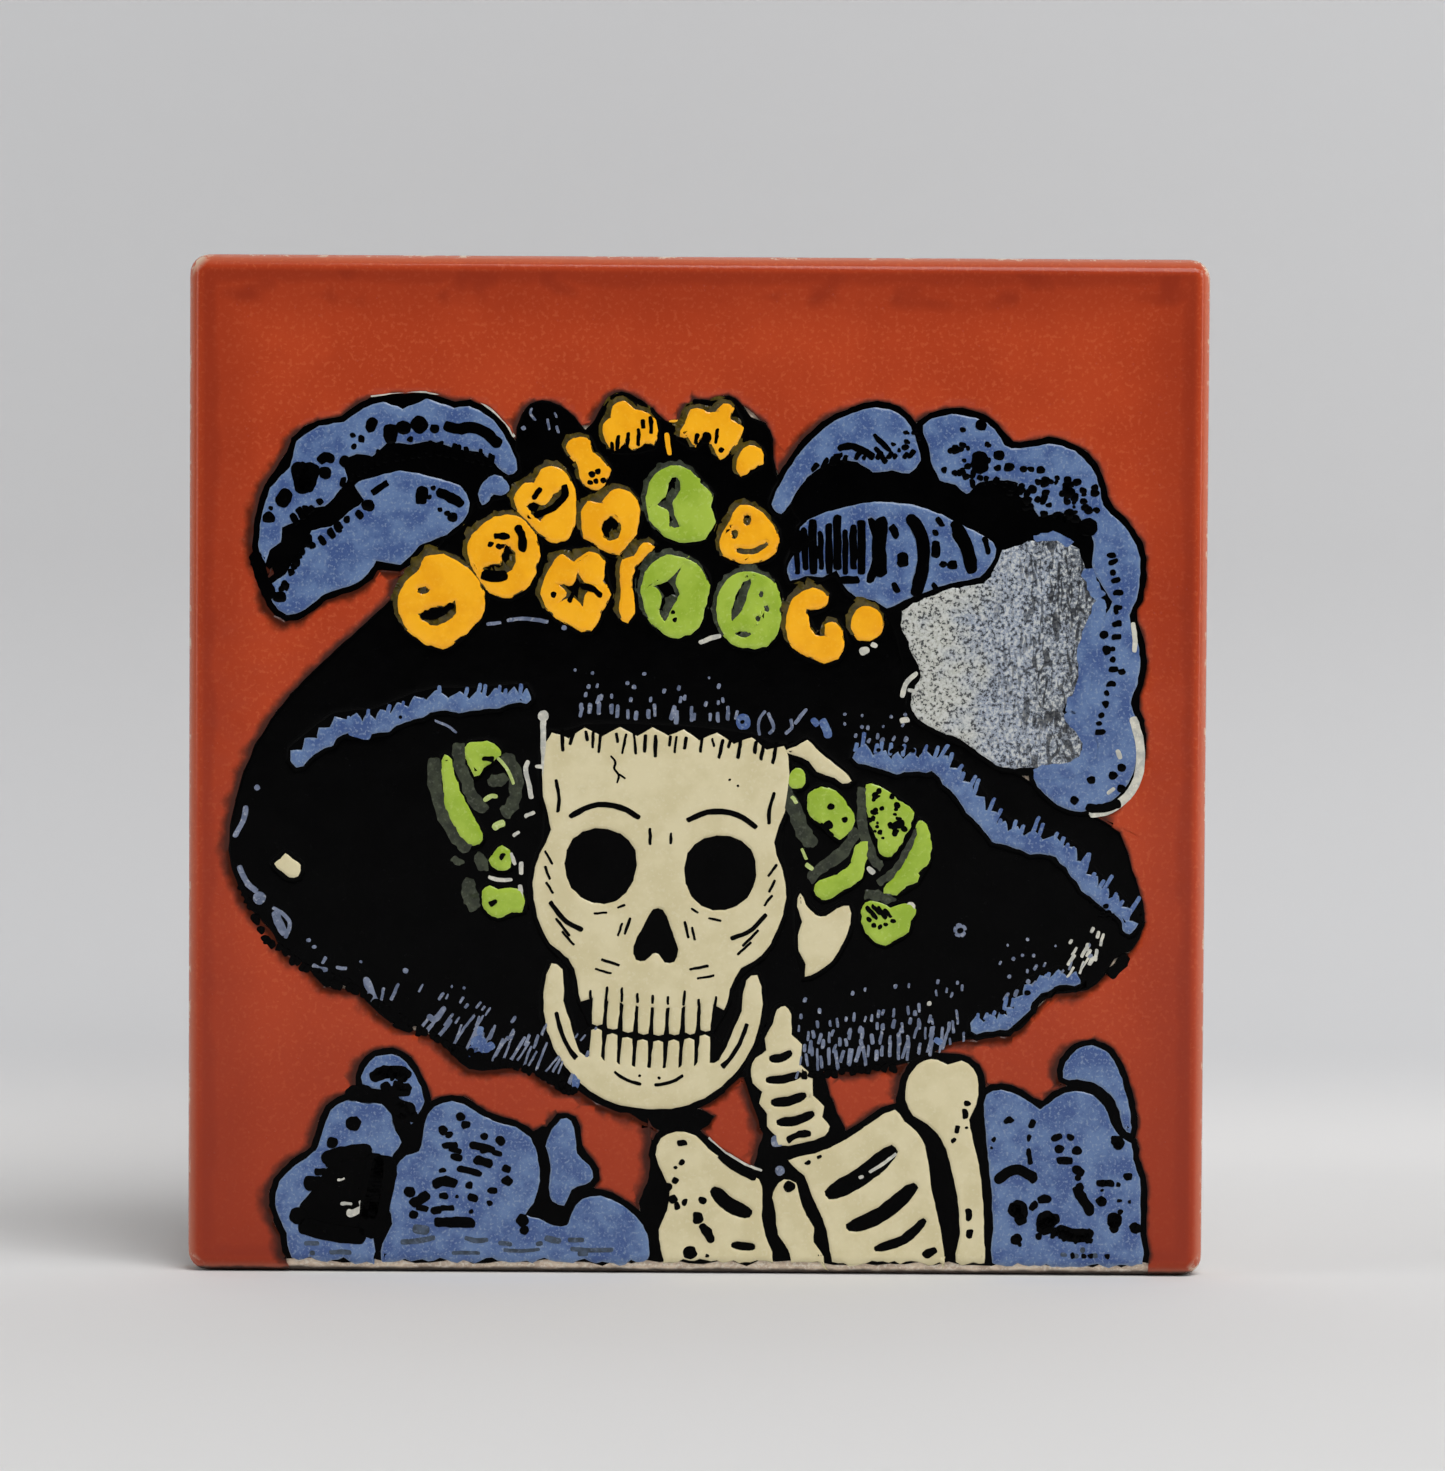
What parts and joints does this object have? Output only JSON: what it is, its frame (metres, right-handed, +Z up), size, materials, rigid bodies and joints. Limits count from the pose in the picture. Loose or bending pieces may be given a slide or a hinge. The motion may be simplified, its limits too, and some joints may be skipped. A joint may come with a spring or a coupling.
{
  "type": "glazed ceramic tile",
  "caption": "Square glazed clay wall tile painted with a skeleton lady in a wide feathered, flowered hat, for setting in a wall or standing on its edge.",
  "frame": {"origin": "middle of the tile's foot, halfway through its thickness", "axes": "+Z up the face, +X to the right as the face is looked at, +Y through the tile to its back; the painted face looks along -Y"},
  "size_m": [0.105, 0.0066, 0.105],
  "materials": {
    "black_glaze": "gloss glaze",
    "green_glaze": "gloss glaze",
    "cream_glaze": "gloss glaze",
    "orange_glaze": "gloss glaze",
    "clay": "unglazed fired clay",
    "blue_glaze": "gloss glaze",
    "speckled_glaze": "gloss glaze",
    "red_glaze": "gloss glaze"
  },
  "bodies": {
    "root": {"black_linework": "black_glaze", "bow_left_knot": "green_glaze", "bow_left_loop": "green_glaze", "bow_left_strip": "green_glaze", "bow_left_tail": "green_glaze", "bow_right_band": "green_glaze", "bow_right_bud": "green_glaze", "bow_right_edge": "green_glaze", "bow_right_leaf": "green_glaze", "bow_right_loop": "green_glaze", "bow_right_tail": "green_glaze", "breastbone": "cream_glaze", "brim_spot": "cream_glaze", "bud_upper_left": "orange_glaze", "bud_upper_right": "orange_glaze", "chest_left": "cream_glaze", "clay_body": "clay", "fringe_left": "blue_glaze", "fringe_right": "blue_glaze", "fringe_right_lower": "blue_glaze", "ground_glaze": "cream_glaze", "hat_glaze": "black_glaze", "marigold_01": "orange_glaze", "marigold_02": "orange_glaze", "marigold_03": "orange_glaze", "marigold_04": "orange_glaze", "marigold_05": "orange_glaze", "marigold_06": "orange_glaze", "marigold_07": "orange_glaze", "marigold_08": "orange_glaze", "neck_vertebrae": "cream_glaze", "petal_fan_left": "orange_glaze", "petal_fan_right": "orange_glaze", "petal_side": "orange_glaze", "plume_left_crest": "blue_glaze", "plume_left_curl": "blue_glaze", "plume_left_leaf": "blue_glaze", "plume_right_barbs": "blue_glaze", "plume_right_crest": "blue_glaze", "plume_right_down": "speckled_glaze", "plume_right_front": "blue_glaze", "red_background": "red_glaze", "red_window_left": "red_glaze", "red_window_right": "red_glaze", "rib_cage": "cream_glaze", "rose_lower_left": "green_glaze", "rose_lower_right": "green_glaze", "rose_upper": "green_glaze", "skull_face": "cream_glaze", "skull_jaw": "cream_glaze", "skull_side_lower": "cream_glaze", "skull_side_upper": "cream_glaze", "sleeve_left_knob": "blue_glaze", "sleeve_left_leaf": "blue_glaze", "sleeve_left_outer": "blue_glaze", "sleeve_left_puff": "blue_glaze", "sleeve_right_knob": "blue_glaze", "sleeve_right_puff": "blue_glaze", "upper_arm": "cream_glaze"}
  },
  "joints": []
}
